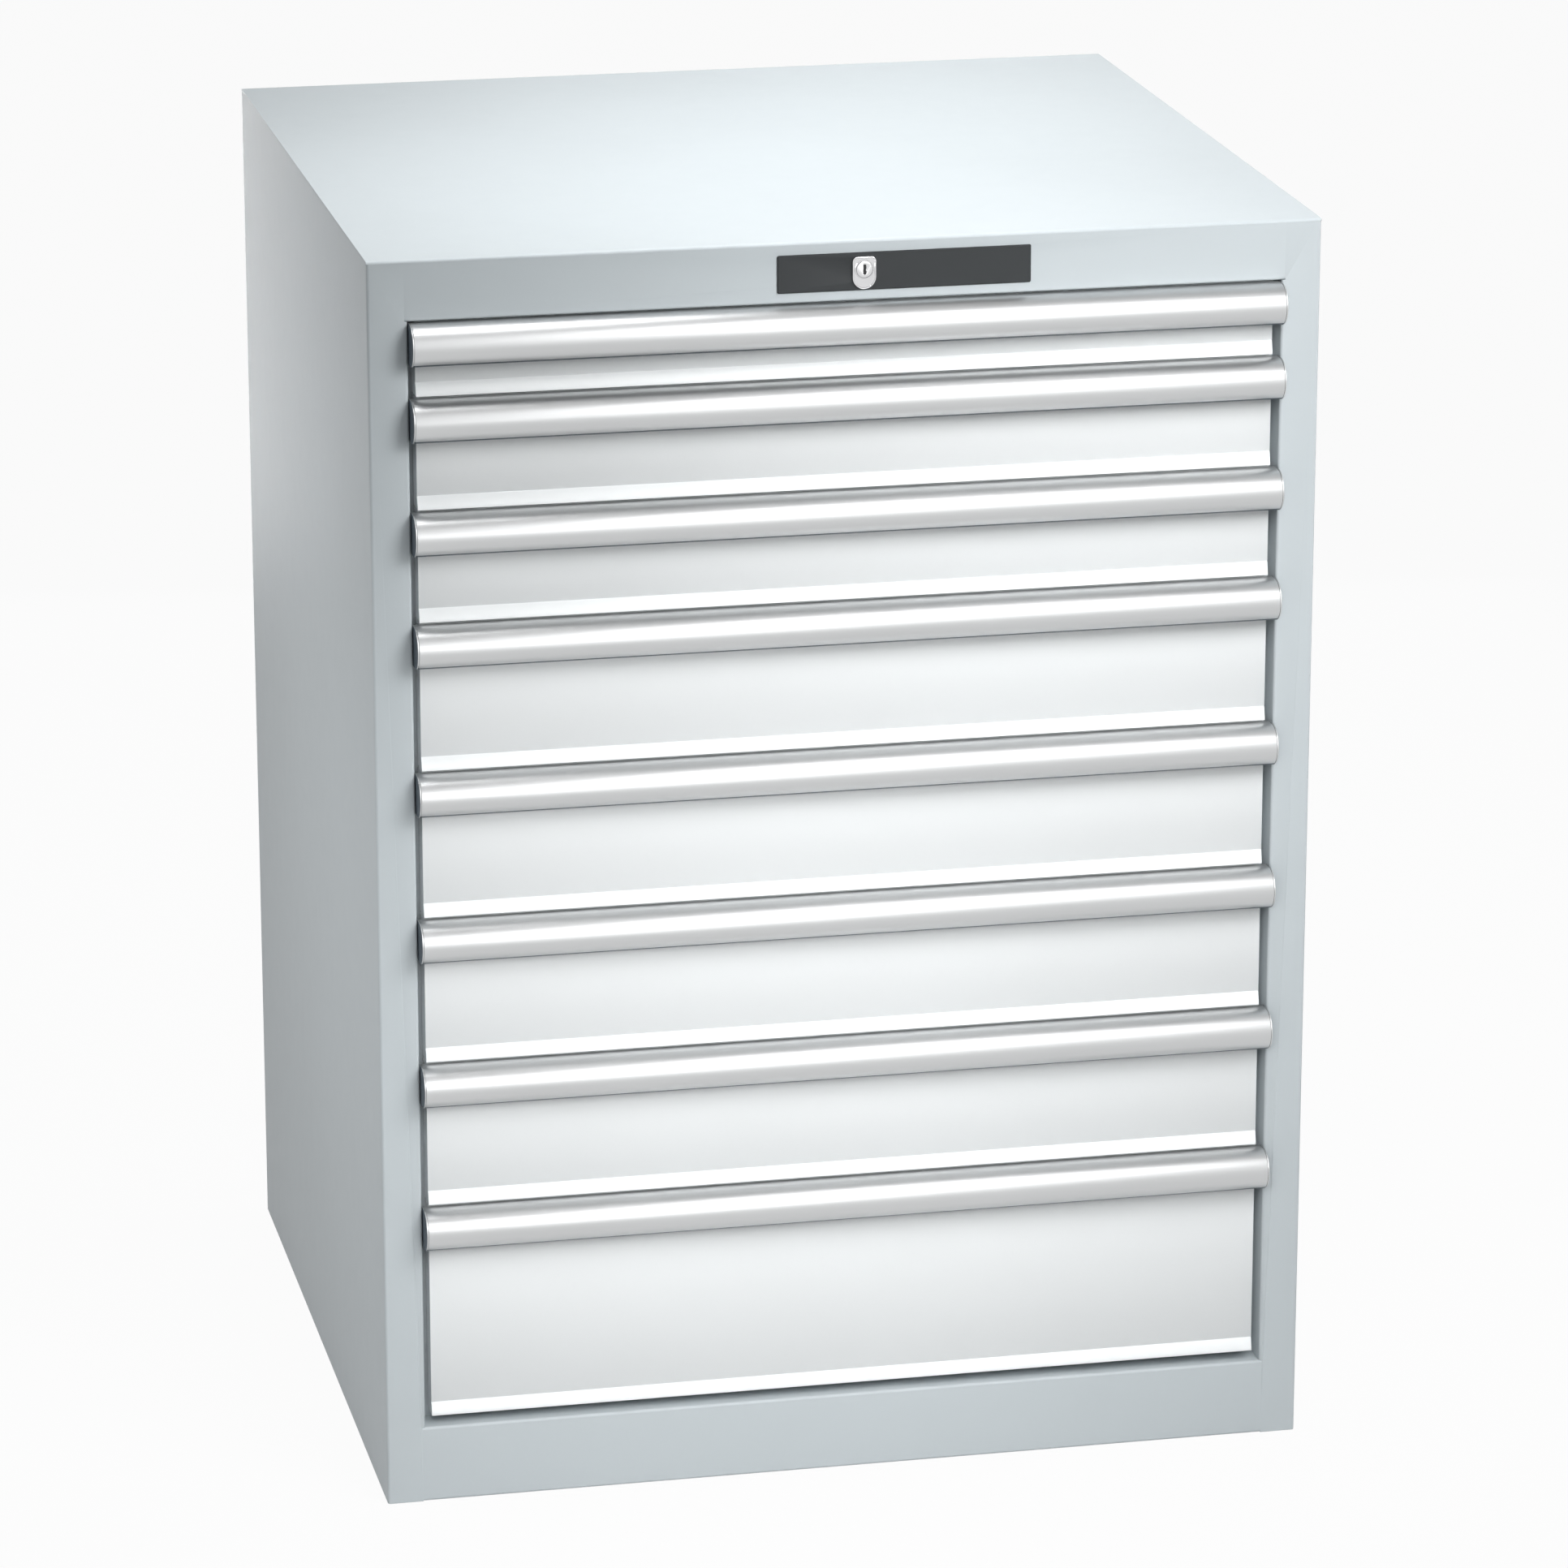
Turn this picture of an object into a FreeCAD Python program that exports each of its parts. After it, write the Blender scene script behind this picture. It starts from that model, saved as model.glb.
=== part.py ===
import FreeCAD, Part
import math
import os
import Sketcher

# Multi-drawer cabinet: a folded steel housing, eight full-extension drawers and a central lock.
# Millimetres. +Z is up and -Y is the front. The origin is the centre of the base, on the floor.

DRIVING_SIZES = {
    # housing
    "cabinet_width": 630,
    "cabinet_depth": 580,
    "skin": 1.5,
    "bend_radius": 2,
    "stile_width": 26,
    "top_rail_height": 40,
    "bottom_rail_height": 53,
    "frame_lip_depth": 20,
    "rebate_width": 8,
    "rear_flange": 16,
    "foot_flange": 25,
    "floor_hole_radius": 5.5,
    "floor_hole_spacing": 440,
    "back_thickness": 1.2,
    # stack of drawers, each front a whole number of modules high
    "height_module": 25,
    "drawer_1_units": 2,
    "drawer_2_units": 3,
    "drawer_3_units": 3,
    "drawer_4_units": 4,
    "drawer_5_units": 4,
    "drawer_6_units": 4,
    "drawer_7_units": 4,
    "drawer_8_units": 6,
    "gap_over_stack": 1,
    "gap_under_stack": 6,
    # drawer front and handle
    "front_recess": 4,
    "front_depth": 14.5,
    "front_sheet": 1.2,
    "front_side_gap": 5,
    "front_gap": 1.2,
    "bead_height": 9,
    "bead_proud": 2,
    "bead_edge": 1.5,
    "handle_height": 27.5,
    "handle_reach": 22,
    "handle_wall": 2,
    "handle_back_flange": 20,
    "handle_grip_angle": 70,
    "handle_side_gap": 0.5,
    "end_cap_thickness": 1,
    # tray
    "space_behind_tray": 61.5,
    "tray_sheet": 1.25,
    "tray_floor_gap": 3,
    "tray_top_gap": 12,
    "tray_top_flange": 5,
    "tray_rear_drop": 4,
    "wall_slot_width": 2.2,
    "wall_slot_pitch": 51,
    "wall_slot_margin": 7,
    # telescopic runners
    "runner_sheet": 1.5,
    "channel_depth": 10.5,
    "channel_floor_gap": 6,
    "roller_radius": 8,
    "runner_play": 0.3,
    "runner_side_gap": 0.5,
    "carriage_thickness": 3,
    "carriage_height": 18,
    "carriage_setback": 3,
    "runner_setback": 4,
    "roller_end_margin": 12,
    "glide_length": 24,
    "glide_margin": 6,
    "travel_margin": 20,
    # slotted uprights
    "upright_depth": 24,
    "upright_width": 30,
    "upright_setback": 4,
    "upright_rear_setback": 16,
    "hook_slot_width": 4,
    "hook_slot_height": 12,
    "hook_play": 0.4,
    "hook_length": 5,
    # lock
    "lock_offset": 8.5,
    "lock_drop": 19,
    "lock_plate_left": 57,
    "lock_plate_width": 168,
    "lock_plate_height": 25,
    "lock_plate_drop": 8,
    "lock_plate_thickness": 1.5,
    "shield_width": 15.5,
    "shield_rise": 8.3,
    "shield_fall": 13,
    "shield_thickness": 1.6,
    "plug_radius": 5.25,
    "plug_play": 0.08,
    "plug_proud": 0.5,
    "lock_case_width": 14,
    "lock_case_depth": 22,
    "key_slot_width": 1.6,
    "key_slot_height": 6.4,
    "key_slot_depth": 9,
    "rod_radius": 4,
    "crank_margin": 1.5,
    "bearing_tab_width": 16,
    "crank_thickness": 4,
    "lock_bar_throw": 8,
    "pin_radius": 2,
    "pin_play": 0.35,
    "lock_bar_width": 30,
    "lock_bar_thickness": 3,
    "lock_bar_setback": 3.5,
    "lock_bar_tail": 12,
    "lock_bar_play": 0.3,
    "catch_width": 16,
    "catch_height": 8,
    "catch_reach": 10,
    "catch_rise": 11,
    "catch_play": 2,
}

DRAWER_COUNT = 8

document = FreeCAD.newDocument("drawer_cabinet")
sheet = document.addObject("Spreadsheet::Sheet", "Sizes")
for row, (alias, number) in enumerate(DRIVING_SIZES.items(), start=1):
    sheet.set(f"A{row}", alias)
    sheet.set(f"B{row}", str(number))
    sheet.setAlias(f"B{row}", alias)
document.recompute()


def size(alias):
    """The expression that reads one driving size."""
    return f"Sizes.{alias}"


def value(expression):
    """The number that an expression gives now."""
    return float(sheet.evalExpression(expression))


def paren(expression):
    return f"({expression})"


# Places that several pieces share

SKIN = size("skin")
HALF_WIDTH = paren("Sizes.cabinet_width / 2")
HALF_DEPTH = paren("Sizes.cabinet_depth / 2")
FRONT_FACE = paren(f"-{HALF_DEPTH}")
STACK_BOTTOM = paren("Sizes.bottom_rail_height + Sizes.gap_under_stack")
ALL_UNITS = paren(" + ".join(size(f"drawer_{number}_units") for number in range(1, DRAWER_COUNT + 1)))
STACK_TOP = paren(f"{STACK_BOTTOM} + {ALL_UNITS} * Sizes.height_module")
OPENING_TOP = paren(f"{STACK_TOP} + Sizes.gap_over_stack")
HEIGHT = paren(f"{OPENING_TOP} + Sizes.top_rail_height")
UNDER_TOP = paren(f"{HEIGHT} - {SKIN}")
WALL_INSIDE = paren(f"{HALF_WIDTH} - {SKIN}")
OPENING_HALF = paren(f"{HALF_WIDTH} - Sizes.stile_width")
STILE_SEAM = paren(f"{OPENING_HALF} + Sizes.bend_radius")
REBATE_HALF = paren(f"{OPENING_HALF} - Sizes.rebate_width")
REBATE_FRONT = paren(f"{FRONT_FACE} + Sizes.frame_lip_depth")
REBATE_BACK = paren(f"{REBATE_FRONT} + {SKIN}")
REAR_FLANGE_HALF = paren(f"{HALF_WIDTH} - Sizes.rear_flange")
BACK_REAR = paren(f"{HALF_DEPTH} - {SKIN}")
FOOT_HOLE_FRONT = paren(f"{FRONT_FACE} + Sizes.foot_flange / 2")

# Drawer front and tray, in depth

PANEL_FACE = paren(f"{FRONT_FACE} + Sizes.front_recess")
PANEL_REAR = paren(f"{PANEL_FACE} + Sizes.front_depth")
PANEL_HALF = paren(f"{OPENING_HALF} - Sizes.front_side_gap")
TRAY_REAR = paren(f"{HALF_DEPTH} - Sizes.space_behind_tray")
TRAY_DEPTH = paren(f"{TRAY_REAR} - {PANEL_REAR}")
DRAWER_TRAVEL = paren(f"{TRAY_DEPTH} - Sizes.travel_margin")
CAP_OUTSIDE = paren(f"{OPENING_HALF} - Sizes.handle_side_gap")
HANDLE_HALF = paren(f"{CAP_OUTSIDE} - Sizes.end_cap_thickness")

# Runners, from the upright inwards

UPRIGHT_FACE = paren(f"{WALL_INSIDE} - Sizes.upright_depth")
FIXED_TIP = paren(f"{UPRIGHT_FACE} - Sizes.channel_depth")
BAR_OUTSIDE = paren(f"{FIXED_TIP} - Sizes.runner_side_gap")
BAR_INSIDE = paren(f"{BAR_OUTSIDE} - Sizes.carriage_thickness")
MOVING_TIP = paren(f"{BAR_INSIDE} - Sizes.runner_side_gap")
TRAY_HALF = paren(f"{MOVING_TIP} - Sizes.channel_depth")
CHANNEL_HEIGHT = paren("2 * (Sizes.roller_radius + Sizes.runner_play + Sizes.runner_sheet)")
CHANNEL_AXIS = paren(f"Sizes.channel_floor_gap + {CHANNEL_HEIGHT} / 2")
RAIL_FRONT = paren(f"{REBATE_BACK} + Sizes.runner_setback")
RAIL_REAR = paren(f"{RAIL_FRONT} + {TRAY_DEPTH}")
BAR_FRONT = paren(f"{RAIL_FRONT} + Sizes.carriage_setback")
BAR_REAR = paren(f"{RAIL_REAR} - Sizes.carriage_setback")
UPRIGHT_FRONT = paren(f"{RAIL_FRONT} + Sizes.upright_setback")
REAR_UPRIGHT = paren(f"{RAIL_REAR} - Sizes.upright_rear_setback - Sizes.upright_width")

# Lock

LOCK_X = size("lock_offset")
LOCK_Z = paren(f"{HEIGHT} - Sizes.lock_drop")
PLATE_FACE = paren(f"{FRONT_FACE} - Sizes.lock_plate_thickness")
SHIELD_FACE = paren(f"{PLATE_FACE} - Sizes.shield_thickness")
LOCK_BAR_FRONT = paren(f"{TRAY_REAR} + Sizes.lock_bar_setback")
LOCK_BAR_REAR = paren(f"{LOCK_BAR_FRONT} + Sizes.lock_bar_thickness")
PIN_RISE = paren("Sizes.lock_bar_throw / 2")
PIN_RADIUS_OF_TURN = paren(f"{PIN_RISE} * sqrt(2)")


def cell_bottom(number):
    """Height of the bottom of one drawer's cell."""
    below = [size(f"drawer_{lower}_units") for lower in range(number + 1, DRAWER_COUNT + 1)]
    modules = " + ".join(below) if below else "0"
    return paren(f"{STACK_BOTTOM} + ({modules}) * Sizes.height_module")


def cell_height(number):
    return paren(f"Sizes.drawer_{number}_units * Sizes.height_module")


# Helpers for bodies, outlines and features


def new_body(label, height="0"):
    """An empty body, lifted to its own height."""
    body = document.addObject("PartDesign::Body", label)
    body.Label = label
    body.setExpression("Placement.Base.z", height)
    return body


def origin_feature(body, role):
    return next(feature for feature in body.Origin.OriginFeatures if feature.Role == role)


def outline(body, name, role, corners, arcs=None, offset="0"):
    """A closed sketch. Corners are pairs of expressions; arcs maps a corner's index to a centre.

    The side that starts at an indexed corner is an arc about that centre, anticlockwise where the
    third entry is 1 and clockwise where it is -1.
    """
    arcs = arcs or {}
    sketch = body.newObject("Sketcher::SketchObject", name)
    sketch.AttachmentSupport = [(origin_feature(body, role), "")]
    sketch.MapMode = "FlatFace"
    sketch.setExpression("AttachmentOffset.Base.z", offset)
    points = [FreeCAD.Vector(value(u), value(v), 0) for u, v in corners]
    count = len(points)
    starts = []
    ends = []
    for index, start in enumerate(points):
        end = points[(index + 1) % count]
        if index not in arcs:
            sketch.addGeometry(Part.LineSegment(start, end), False)
            starts.append(1)
            ends.append(2)
            continue
        centre_u, centre_v, turn = arcs[index]
        centre = FreeCAD.Vector(value(centre_u), value(centre_v), 0)
        first, last = (start, end) if turn > 0 else (end, start)
        from_angle = math.atan2(first.y - centre.y, first.x - centre.x)
        to_angle = math.atan2(last.y - centre.y, last.x - centre.x)
        if to_angle <= from_angle:
            to_angle += 2 * math.pi
        circle = Part.Circle(centre, FreeCAD.Vector(0, 0, 1), (first - centre).Length)
        sketch.addGeometry(Part.ArcOfCircle(circle, from_angle, to_angle), False)
        starts.append(1 if turn > 0 else 2)
        ends.append(2 if turn > 0 else 1)
    for index in range(count):
        following = (index + 1) % count
        sketch.addConstraint(
            Sketcher.Constraint("Coincident", index, ends[index], following, starts[following])
        )
    for index, corner in enumerate(corners):
        for kind, expression in zip(("DistanceX", "DistanceY"), corner):
            bind_distance(sketch, kind, index, starts[index], expression)
    for index, (centre_u, centre_v, _) in arcs.items():
        chord = points[(index + 1) % count] - points[index]
        if abs(chord.y) > abs(chord.x):
            bind_distance(sketch, "DistanceX", index, 3, centre_u)
        else:
            bind_distance(sketch, "DistanceY", index, 3, centre_v)
    return sketch


def bind_distance(sketch, kind, geometry, point, expression):
    """Holds one coordinate of a point, measured from the sketch's origin."""
    number = sketch.addConstraint(
        Sketcher.Constraint(kind, -1, 1, geometry, point, value(expression))
    )
    sketch.setExpression(f"Constraints[{number}]", expression)


def folded(path, thickness, inward):
    """Corners of a sheet folded square along a path; inward is 1 to the left of it, -1 to the right."""
    points = [(value(u), value(v)) for u, v in path]
    steps = []
    for (u0, v0), (u1, v1) in zip(points, points[1:]):
        length = math.hypot(u1 - u0, v1 - v0)
        steps.append((round((u1 - u0) / length), round((v1 - v0) / length)))
    normals = [(-inward * dv, inward * du) for du, dv in steps]
    inner = []
    for index, (u, v) in enumerate(path):
        before = normals[max(index - 1, 0)]
        after = normals[min(index, len(normals) - 1)]
        if 0 < index < len(path) - 1:
            shift = (before[0] + after[0], before[1] + after[1])
        else:
            shift = after
        inner.append((f"{u} + ({shift[0]}) * {thickness}", f"{v} + ({shift[1]}) * {thickness}"))
    return list(path) + inner[::-1]


def pad(body, sketch, length, midplane=False, reverse=False):
    feature = body.newObject("PartDesign::Pad", f"{sketch.Name}_pad")
    feature.Profile = (sketch, [""])
    feature.Midplane = midplane
    feature.Reversed = reverse
    feature.setExpression("Length", length)
    document.recompute()
    return feature


def block(body, name, low, high, cut=False):
    """A square block added to a body or cut out of it, between two corners."""
    kind = "PartDesign::SubtractiveBox" if cut else "PartDesign::AdditiveBox"
    feature = body.newObject(kind, name)
    for axis, side, start, end in zip("xyz", ("Length", "Width", "Height"), low, high):
        feature.setExpression(f"Placement.Base.{axis}", start)
        feature.setExpression(side, f"({end}) - ({start})")
    document.recompute()
    return feature


def cylinder(body, name, axis, start, radius, length, cut=False):
    """A cylinder along +X, +Y or +Z from its start point."""
    kind = "PartDesign::SubtractiveCylinder" if cut else "PartDesign::AdditiveCylinder"
    feature = body.newObject(kind, name)
    turn = FreeCAD.Rotation(FreeCAD.Vector(0, 0, 1), FreeCAD.Vector(*axis))
    feature.Placement = FreeCAD.Placement(FreeCAD.Vector(), turn)
    for letter, expression in zip("xyz", start):
        feature.setExpression(f"Placement.Base.{letter}", expression)
    feature.setExpression("Radius", radius)
    feature.setExpression("Height", length)
    document.recompute()
    return feature


def row_of(body, name, original, role, pitch, occurrences):
    """Repeats one feature along an axis at a fixed pitch."""
    pattern = body.newObject("PartDesign::LinearPattern", name)
    pattern.Originals = [original]
    pattern.Direction = (origin_feature(body, role), [""])
    pattern.setExpression("Occurrences", occurrences)
    pattern.setExpression("Length", f"{pitch} * ({occurrences} - 1)")
    body.Tip = pattern
    document.recompute()
    return pattern


def mirrored(body, name):
    """Adds the opposite hand of everything made so far, across the cabinet's middle."""
    mirror = body.newObject("PartDesign::Mirrored", name)
    mirror.TransformMode = "Whole shape"
    mirror.MirrorPlane = (origin_feature(body, "YZ_Plane"), [""])
    body.Tip = mirror
    document.recompute()
    return mirror


def rounded(body, name, base, radius, along, places):
    """Fillets the edges of the base feature that run along one axis through the given places."""
    axis = "xyz".index(along)
    others = [index for index in range(3) if index != axis]
    wanted = [tuple(value(expression) for expression in place) for place in places]
    names = []
    for number, edge in enumerate(base.Shape.Edges, start=1):
        ends = [tuple(vertex.Point) for vertex in edge.Vertexes]
        if len(ends) != 2 or edge.Curve.TypeId != "Part::GeomLine":
            continue
        if any(abs(ends[0][index] - ends[1][index]) > 1e-6 for index in others):
            continue
        here = tuple(ends[0][index] for index in others)
        if any(math.dist(here, place) < 1e-4 for place in wanted):
            names.append(f"Edge{number}")
    if len(names) < len(places):
        raise RuntimeError(f"{name}: an edge is missing")
    fillet = body.newObject("PartDesign::Fillet", name)
    fillet.Base = (base, names)
    fillet.setExpression("Radius", radius)
    document.recompute()
    return fillet


# Housing


def side_panel(label, hand):
    """Wall, front stile with its return lip and rebate, and rear flange, folded from one sheet.

    Beside the rails the lip is cut away, so that the rails butt flush against the flat stile.
    """
    body = new_body(label)
    path = [
        (f"{hand} * {REAR_FLANGE_HALF}", HALF_DEPTH),
        (f"{hand} * {HALF_WIDTH}", HALF_DEPTH),
        (f"{hand} * {HALF_WIDTH}", FRONT_FACE),
        (f"{hand} * {OPENING_HALF}", FRONT_FACE),
        (f"{hand} * {OPENING_HALF}", REBATE_FRONT),
        (f"{hand} * {REBATE_HALF}", REBATE_FRONT),
    ]
    section = outline(body, f"{label}_section", "XY_Plane", folded(path, SKIN, -hand))
    wall = pad(body, section, UNDER_TOP)
    rounded(body, f"{label}_bends", wall, size("bend_radius"), "z", path[1:4])
    near, far = ("0", STILE_SEAM) if hand > 0 else (f"-{STILE_SEAM}", "0")
    places = (("top", OPENING_TOP, HEIGHT), ("bottom", f"-{SKIN}", size("bottom_rail_height")))
    for rail, low, high in places:
        block(
            body,
            f"{label}_{rail}_rail_place",
            (near, f"2 * {FRONT_FACE}", low),
            (far, f"{REBATE_BACK} + {SKIN}", high),
            cut=True,
        )
    return body


def top_panel():
    """Top sheet with its front rail, rail lip and rebate, and rear flange."""
    body = new_body("top_panel")
    path = [
        (HALF_DEPTH, f"{HEIGHT} - Sizes.rear_flange"),
        (HALF_DEPTH, HEIGHT),
        (FRONT_FACE, HEIGHT),
        (FRONT_FACE, OPENING_TOP),
        (REBATE_FRONT, OPENING_TOP),
        (REBATE_FRONT, f"{OPENING_TOP} - Sizes.rebate_width"),
    ]
    section = outline(body, "top_section", "YZ_Plane", folded(path, SKIN, 1))
    top = pad(body, section, size("cabinet_width"), midplane=True)
    rounded(body, "top_bends", top, size("bend_radius"), "x", path[1:4])
    rail_bottom = f"{OPENING_TOP} - 2 * Sizes.rebate_width"
    before = f"2 * {FRONT_FACE}"
    behind = f"2 * {HALF_DEPTH}"
    for hand, side in ((1, "right"), (-1, "left")):
        notch(body, f"rail_end_{side}", hand, STILE_SEAM, before, REBATE_BACK, rail_bottom)
        rebate = (REBATE_FRONT, REBATE_BACK, rail_bottom, OPENING_TOP)
        notch(body, f"rebate_end_{side}", hand, REBATE_HALF, *rebate)
        notch(body, f"flange_end_{side}", hand, REAR_FLANGE_HALF, BACK_REAR, behind, rail_bottom)
    lock_box(body, "lock_hole", f"2 * {FRONT_FACE}", f"{FRONT_FACE} + 2 * {SKIN}", cut=True)
    rod_bearing(body)
    return body


def notch(body, name, hand, inner, front, rear, bottom, top=UNDER_TOP):
    """Cuts a folded edge back so that the side panel's flange stands in its place."""
    near = f"{hand} * {inner}"
    far = f"{hand} * (2 * {HALF_WIDTH})"
    low, high = (near, far) if hand > 0 else (far, near)
    return block(body, name, (low, front, bottom), (high, rear, top), cut=True)


def lock_box(body, name, front, rear, cut=False):
    """The square shape of the lock's case, or of the hole that it fills."""
    half = "Sizes.lock_case_width / 2"
    return block(
        body,
        name,
        (f"{LOCK_X} - {half}", front, f"{LOCK_Z} - {half}"),
        (f"{LOCK_X} + {half}", rear, f"{LOCK_Z} + {half}"),
        cut=cut,
    )


def rod_bearing(body):
    """A tab under the top sheet that carries the rear end of the lock's rod."""
    half = "Sizes.bearing_tab_width / 2"
    front = f"{LOCK_BAR_FRONT} - 3 * Sizes.crank_thickness"
    corners = [
        (f"{LOCK_X} - {half}", f"{LOCK_Z} - {half}"),
        (f"{LOCK_X} + {half}", f"{LOCK_Z} - {half}"),
        (f"{LOCK_X} + {half}", UNDER_TOP),
        (f"{LOCK_X} - {half}", UNDER_TOP),
    ]
    tab = outline(body, "bearing_tab", "XZ_Plane", corners, offset=f"-({front} + {SKIN})")
    pad(body, tab, SKIN)
    cylinder(
        body,
        "bearing_hole",
        (0, 1, 0),
        (LOCK_X, f"{front} - {SKIN}", LOCK_Z),
        "Sizes.rod_radius + Sizes.plug_play",
        f"3 * {SKIN}",
        cut=True,
    )


def base_panel():
    """Floor of the housing with the front plinth rail and the rear plinth, folded from one sheet."""
    body = new_body("base_panel")
    top = size("bottom_rail_height")
    path = [
        (f"{FRONT_FACE} + Sizes.foot_flange", "0"),
        (FRONT_FACE, "0"),
        (FRONT_FACE, top),
        (HALF_DEPTH, top),
        (HALF_DEPTH, "0"),
        (f"{HALF_DEPTH} - Sizes.foot_flange", "0"),
    ]
    section = outline(body, "base_section", "YZ_Plane", folded(path, SKIN, -1))
    base = pad(body, section, f"2 * {WALL_INSIDE}", midplane=True)
    rounded(body, "base_bends", base, size("bend_radius"), "x", path[1:3])
    before = f"2 * {FRONT_FACE}"
    behind = f"2 * {HALF_DEPTH}"
    for hand, side in ((1, "right"), (-1, "left")):
        notch(body, f"stile_end_{side}", hand, STILE_SEAM, before, REBATE_BACK, f"-{top}")
        notch(body, f"rear_end_{side}", hand, REAR_FLANGE_HALF, BACK_REAR, behind, f"-{top}")
    play = size("lock_bar_play")
    half = f"(Sizes.lock_bar_width / 2 + {play})"
    block(
        body,
        "lock_bar_slot",
        (f"{LOCK_X} - {half}", f"{LOCK_BAR_FRONT} - {play}", f"{top} - 2 * {SKIN}"),
        (f"{LOCK_X} + {half}", f"{LOCK_BAR_REAR} + {play}", f"{top} + {SKIN}"),
        cut=True,
    )
    for place, y in (("front", FOOT_HOLE_FRONT), ("rear", f"-{FOOT_HOLE_FRONT}")):
        for hand, side in ((1, "right"), (-1, "left")):
            cylinder(
                body,
                f"floor_hole_{place}_{side}",
                (0, 0, 1),
                (f"{hand} * Sizes.floor_hole_spacing / 2", y, f"-{SKIN}"),
                size("floor_hole_radius"),
                f"3 * {SKIN}",
                cut=True,
            )
    return body


def back_panel():
    """Back sheet, inside the flanges of the walls, the top and the plinth."""
    body = new_body("back_panel")
    corners = [
        (f"-{WALL_INSIDE}", size("bottom_rail_height")),
        (WALL_INSIDE, size("bottom_rail_height")),
        (WALL_INSIDE, UNDER_TOP),
        (f"-{WALL_INSIDE}", UNDER_TOP),
    ]
    section = outline(body, "back_outline", "XZ_Plane", corners, offset=f"-{BACK_REAR}")
    pad(body, section, size("back_thickness"))
    return body


def upright_pair(name, front):
    """Two channel posts with a hook slot for each drawer's rail, one against each wall."""
    body = new_body(name)
    rear = f"{front} + Sizes.upright_width"
    path = [
        (WALL_INSIDE, front),
        (UPRIGHT_FACE, front),
        (UPRIGHT_FACE, rear),
        (WALL_INSIDE, rear),
    ]
    floor = size("bottom_rail_height")
    section = outline(body, f"{name}_section", "XY_Plane", folded(path, SKIN, -1), offset=floor)
    pad(body, section, f"{UNDER_TOP} - {floor}")
    middle = f"({front} + Sizes.upright_width / 2)"
    for number in range(1, DRAWER_COUNT + 1):
        axis = paren(f"{cell_bottom(number)} + {CHANNEL_AXIS}")
        block(
            body,
            f"{name}_slot_{number}",
            (
                f"{UPRIGHT_FACE} - {SKIN}",
                f"{middle} - Sizes.hook_slot_width / 2",
                f"{axis} - Sizes.hook_slot_height / 2",
            ),
            (
                f"{UPRIGHT_FACE} + 2 * {SKIN}",
                f"{middle} + Sizes.hook_slot_width / 2",
                f"{axis} + Sizes.hook_slot_height / 2",
            ),
            cut=True,
        )
    mirrored(body, f"{name}_both")
    return body


# Runners


def channel(web, tip):
    """Section of one runner channel, from the tip of one flange round to the other."""
    bottom = size("channel_floor_gap")
    top = f"({bottom} + {CHANNEL_HEIGHT})"
    return [(tip, bottom), (web, bottom), (web, top), (tip, top)]


def fixed_rail_pair(number):
    """The housing's two channels for one drawer, hooked into the uprights."""
    name = f"fixed_rail_{number}"
    body = new_body(name, cell_bottom(number))
    path = channel(UPRIGHT_FACE, FIXED_TIP)
    section = outline(
        body,
        f"{name}_section",
        "XZ_Plane",
        folded(path, size("runner_sheet"), 1),
        offset=f"-{RAIL_REAR}",
    )
    pad(body, section, f"{RAIL_REAR} - {RAIL_FRONT}")
    half_width = "(Sizes.hook_slot_width / 2 - Sizes.hook_play)"
    half_height = "(Sizes.hook_slot_height / 2 - Sizes.hook_play)"
    for place, upright in (("front", UPRIGHT_FRONT), ("rear", REAR_UPRIGHT)):
        y = f"({upright} + Sizes.upright_width / 2)"
        block(
            body,
            f"{name}_{place}_hook",
            (
                f"{UPRIGHT_FACE} - Sizes.runner_sheet",
                f"{y} - {half_width}",
                f"{CHANNEL_AXIS} - {half_height}",
            ),
            (
                f"{UPRIGHT_FACE} + Sizes.hook_length",
                f"{y} + {half_width}",
                f"{CHANNEL_AXIS} + {half_height}",
            ),
        )
    mirrored(body, f"{name}_both")
    return body


def carriage(number):
    """The two middle members for one drawer: flat bars, each with one roller and three glides."""
    name = f"carriage_{number}"
    body = new_body(name, cell_bottom(number))
    half_height = "Sizes.carriage_height / 2"
    corners = [
        (BAR_FRONT, f"{CHANNEL_AXIS} - {half_height}"),
        (BAR_REAR, f"{CHANNEL_AXIS} - {half_height}"),
        (BAR_REAR, f"{CHANNEL_AXIS} + {half_height}"),
        (BAR_FRONT, f"{CHANNEL_AXIS} + {half_height}"),
    ]
    side = outline(body, f"{name}_side", "YZ_Plane", corners, offset=BAR_INSIDE)
    pad(body, side, size("carriage_thickness"))
    width = paren("Sizes.channel_depth - Sizes.runner_sheet")
    rear = paren(f"{BAR_REAR} - Sizes.roller_end_margin")
    front = paren(f"{BAR_FRONT} + Sizes.roller_end_margin")
    inner_side = paren(f"{BAR_INSIDE} - {width}")
    outer_side = paren(f"{BAR_OUTSIDE} + {width}")
    radius = size("roller_radius")
    cylinder(body, f"{name}_roller", (1, 0, 0), (BAR_OUTSIDE, rear, CHANNEL_AXIS), radius, width)
    reach = paren(f"{DRAWER_TRAVEL} / 2 + Sizes.glide_length / 2 + Sizes.glide_margin")
    glide(body, f"{name}_outer_glide", BAR_OUTSIDE, outer_side, paren(f"{RAIL_FRONT} + {reach}"))
    glide(body, f"{name}_inner_glide", inner_side, BAR_INSIDE, paren(f"{BAR_REAR} - {reach}"))
    glide(body, f"{name}_front_glide", inner_side, BAR_INSIDE, front)
    mirrored(body, f"{name}_both")
    return body


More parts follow.
